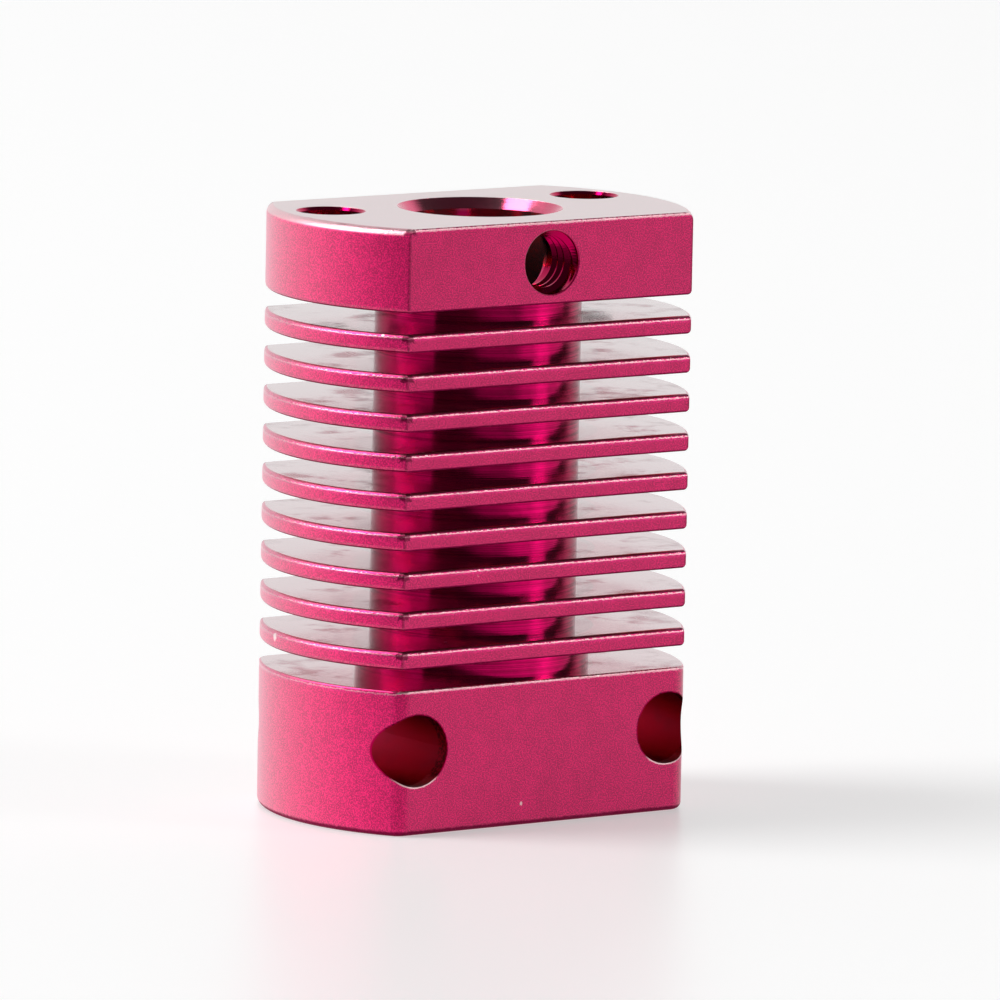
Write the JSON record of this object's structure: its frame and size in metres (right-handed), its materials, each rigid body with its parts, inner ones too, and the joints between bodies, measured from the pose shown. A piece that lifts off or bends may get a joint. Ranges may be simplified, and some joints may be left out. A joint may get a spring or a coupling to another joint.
{
  "type": "hotend heat sink",
  "caption": "Finned aluminium heat sink of a 3-D printer hotend, turned with two milled flats, bored for a heat break and tube, with clamp screw and mounting holes.",
  "frame": {"origin": "centre of the flat base, on the turned axis", "axes": "+Z along the turned axis from the base to the heat-break flange; +X along the milled flats; the clamp screw enters the flat that faces -Y"},
  "size_m": [0.02, 0.012, 0.0284],
  "materials": {
    "anodised_aluminium": "bead-blasted and anodised magenta red, turned faces glossy"
  },
  "bodies": {
    "root": {"heat_sink": "anodised_aluminium"}
  },
  "joints": []
}
